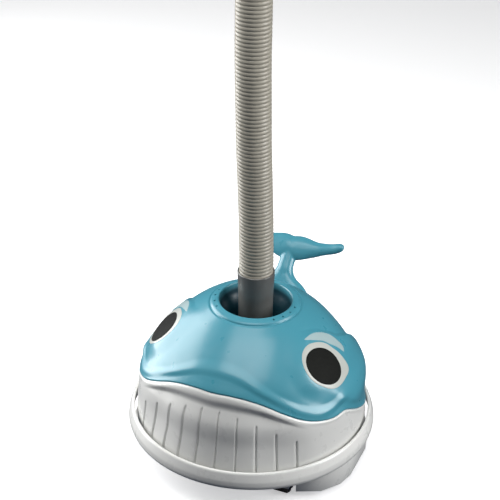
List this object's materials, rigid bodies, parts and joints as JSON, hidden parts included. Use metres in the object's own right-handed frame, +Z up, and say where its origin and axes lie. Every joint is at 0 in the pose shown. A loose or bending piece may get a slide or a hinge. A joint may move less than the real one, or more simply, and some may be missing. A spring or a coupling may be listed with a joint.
{
  "type": "pool cleaner",
  "caption": "Whale-shaped suction pool cleaner: domed shell with eyes and tail, grooved jaw, bumper ring, rocking pods, turbine drive and swivel hose.",
  "frame": {"origin": "on the floor under the centre of the bumper ring", "axes": "nose faces -Y, +X is the animal's left, +Z up and along the hose's last stretch"},
  "size_m": [0.356, 0.356, 0.752],
  "materials": {
    "shell_blue": "glossy moulded plastic",
    "white_plastic": "glossy moulded plastic",
    "eye_white": "gloss inlay",
    "eye_dark": "fine mesh insert",
    "brow_pale": "gloss paint",
    "grey_plastic": "moulded",
    "gear_plastic": "moulded acetal",
    "steel": "brushed",
    "bronze": "sintered",
    "ballast_iron": "coated casting",
    "cuff_grey": "satin",
    "hose_plastic": "satin ribbed",
    "black_plastic": "satin",
    "black_rubber": "matte"
  },
  "bodies": {
    "body": {"whale_shell": "shell_blue", "tail": "shell_blue", "eye_white_left": "eye_white", "eye_white_right": "eye_white", "eye_pupil_left": "eye_dark", "eye_pupil_right": "eye_dark", "brow_left": "brow_pale", "brow_right": "brow_pale", "jaw": "white_plastic", "bumper_ring": "white_plastic", "base_pan": "white_plastic", "intake_throat": "grey_plastic", "turbine_housing": "grey_plastic", "bearing_left": "bronze", "bearing_right": "bronze", "bridge": "grey_plastic", "swivel_bearing": "gear_plastic", "bracket_left": "grey_plastic", "bracket_right": "grey_plastic", "pivot_pin_left": "steel", "pivot_pin_right": "steel", "front_flap_rod": "steel", "rear_flap_rod": "steel", "ballast": "ballast_iron", "pan_screws": "steel"},
    "turbine": {"turbine": "gear_plastic", "turbine_shaft": "steel", "eccentric_left": "gear_plastic", "eccentric_right": "gear_plastic", "pinion": "gear_plastic"},
    "drive": {"drive_gear": "gear_plastic", "countershaft": "steel", "step_finger": "gear_plastic"},
    "steering": {"steering_gear": "gear_plastic", "steering_shaft": "steel", "star_wheel": "gear_plastic"},
    "swivel": {"swivel_tube": "cuff_grey", "swivel_gear": "gear_plastic", "retaining_ring": "steel", "hose": "hose_plastic", "hose_end_cuff": "black_plastic"},
    "pod_left": {"frame_left": "grey_plastic", "pod_left": "white_plastic", "shoe_left": "black_rubber", "pod_bolts_left": "steel"},
    "pod_right": {"frame_right": "grey_plastic", "pod_right": "white_plastic", "shoe_right": "black_rubber", "pod_bolts_right": "steel"},
    "front_flap": {"front_flap": "black_rubber"},
    "rear_flap": {"rear_flap": "black_rubber"}
  },
  "joints": [
    {"name": "turbine_spin", "type": "hinge", "parent": "body", "child": "turbine", "pos_m": [0, 0.01, 0.092], "axis": [1, 0, 0], "continuous": true},
    {"name": "drive_spin", "type": "hinge", "parent": "body", "child": "drive", "pos_m": [0.046, 0.045, 0.092], "axis": [1, 0, 0], "continuous": true},
    {"name": "swivel_spin", "type": "hinge", "parent": "body", "child": "swivel", "pos_m": [0, 0.01, 0.2], "axis": [0, 0, 1], "continuous": true},
    {"name": "steering_spin", "type": "hinge", "parent": "body", "child": "steering", "pos_m": [0.045, 0.01, 0.15], "axis": [0, 0, 1], "continuous": true},
    {"name": "pod_left_rock", "type": "hinge", "parent": "body", "child": "pod_left", "pos_m": [0.078, 0.01, 0.136], "axis": [1, 0, 0], "range_deg": [-3.2, 3.2]},
    {"name": "pod_right_rock", "type": "hinge", "parent": "body", "child": "pod_right", "pos_m": [-0.078, 0.01, 0.136], "axis": [1, 0, 0], "range_deg": [-3.2, 3.2]},
    {"name": "front_flap_swing", "type": "hinge", "parent": "body", "child": "front_flap", "pos_m": [0, -0.066, 0.046], "axis": [-1, 0, 0], "range_deg": [0, 40]},
    {"name": "rear_flap_swing", "type": "hinge", "parent": "body", "child": "rear_flap", "pos_m": [0, 0.086, 0.046], "axis": [1, 0, 0], "range_deg": [0, 40]}
  ],
  "couplings": [
    {"joint": "drive_spin", "follows": "turbine_spin", "ratio": -0.4},
    {"joint": "steering_spin", "follows": "swivel_spin", "ratio": -2.75},
    {"joint": "pod_right_rock", "follows": "pod_left_rock", "ratio": -1}
  ]
}
